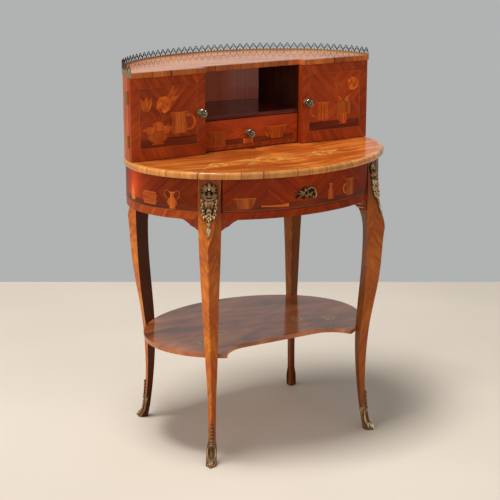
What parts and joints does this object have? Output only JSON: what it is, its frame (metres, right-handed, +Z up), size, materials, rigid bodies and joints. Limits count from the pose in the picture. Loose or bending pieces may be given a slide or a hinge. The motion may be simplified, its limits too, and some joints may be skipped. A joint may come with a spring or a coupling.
{
  "type": "writing desk",
  "caption": "Oval writing table on cabriole legs with a frieze drawer, an undershelf and a half-oval cabinet of cupboards, pigeonhole and small drawer under a brass gallery.",
  "frame": {"origin": "on the floor under the middle of the oval top", "axes": "+X to the right, +Y to the back, +Z up; the drawers and doors face -Y"},
  "size_m": [0.699, 0.535, 0.9826],
  "materials": {
    "leg_veneer": "polished tulipwood veneer",
    "frieze_veneer": "polished rosewood and tulipwood veneer",
    "top_veneer": "polished marquetry veneer",
    "crossbanding": "polished crossbanded tulipwood",
    "case_veneer": "polished veneer with inlay",
    "mahogany": "polished mahogany",
    "drawer_oak": "plain oak",
    "gilt_bronze": "aged gilt bronze",
    "gallery_brass": "dark patinated brass",
    "hinge_brass": "dull brass",
    "lock_steel": "dull steel"
  },
  "bodies": {
    "desk": {"cabinet_back": "case_veneer", "cabinet_base": "mahogany", "cabinet_end_left": "case_veneer", "cabinet_end_right": "case_veneer", "cabinet_top": "top_veneer", "cabinet_top_lipping": "crossbanding", "chute_left": "gilt_bronze", "chute_right": "gilt_bronze", "drawer_guide_left": "drawer_oak", "drawer_guide_right": "drawer_oak", "drawer_kicker_left": "drawer_oak", "drawer_kicker_right": "drawer_oak", "drawer_runner_left": "drawer_oak", "drawer_runner_right": "drawer_oak", "drawer_stops": "drawer_oak", "frieze_back": "frieze_veneer", "frieze_left": "frieze_veneer", "frieze_right": "frieze_veneer", "front_rail": "frieze_veneer", "gallery_arcade": "gallery_brass", "gallery_rail": "gallery_brass", "hinge_frame_leaves_left": "hinge_brass", "hinge_frame_leaves_right": "hinge_brass", "hinge_pins_left": "hinge_brass", "hinge_pins_right": "hinge_brass", "leg_back_left": "leg_veneer", "leg_back_right": "leg_veneer", "leg_front_left": "leg_veneer", "leg_front_right": "leg_veneer", "partition_left": "mahogany", "partition_right": "mahogany", "pigeonhole_shelf": "mahogany", "sabot_back_left": "gilt_bronze", "sabot_back_right": "gilt_bronze", "sabot_front_left": "gilt_bronze", "sabot_front_right": "gilt_bronze", "table_top": "top_veneer", "table_top_lipping": "crossbanding", "undershelf": "top_veneer", "undershelf_dowels": "drawer_oak"},
    "left_door": {"hinge_door_leaves_left": "hinge_brass", "left_door_knob": "gilt_bronze", "left_door_panel": "case_veneer"},
    "right_door": {"hinge_door_leaves_right": "hinge_brass", "right_door_knob": "gilt_bronze", "right_door_panel": "case_veneer"},
    "small_drawer": {"small_drawer_back": "drawer_oak", "small_drawer_bottom": "drawer_oak", "small_drawer_front": "case_veneer", "small_drawer_knob": "gilt_bronze", "small_drawer_side_left": "drawer_oak", "small_drawer_side_right": "drawer_oak"},
    "frieze_drawer": {"frieze_drawer_back": "drawer_oak", "frieze_drawer_bottom": "drawer_oak", "frieze_drawer_escutcheon": "gilt_bronze", "frieze_drawer_front": "frieze_veneer", "frieze_drawer_lock_bolt": "lock_steel", "frieze_drawer_lock_case": "lock_steel", "frieze_drawer_side_left": "drawer_oak", "frieze_drawer_side_right": "drawer_oak"}
  },
  "joints": [
    {"name": "left_door_hinge", "type": "hinge", "parent": "desk", "child": "left_door", "pos_m": [-0.34527, 0.0234, 0.847], "axis": [0, 0, -1], "range_deg": [0, 150]},
    {"name": "right_door_hinge", "type": "hinge", "parent": "desk", "child": "right_door", "pos_m": [0.34527, 0.0234, 0.847], "axis": [0, 0, 1], "range_deg": [0, 150]},
    {"name": "small_drawer_slide", "type": "slide", "parent": "desk", "child": "small_drawer", "axis": [0, -1, 0], "range_m": [0, 0.13]},
    {"name": "frieze_drawer_slide", "type": "slide", "parent": "desk", "child": "frieze_drawer", "axis": [0, -1, 0], "range_m": [0, 0.26]}
  ]
}
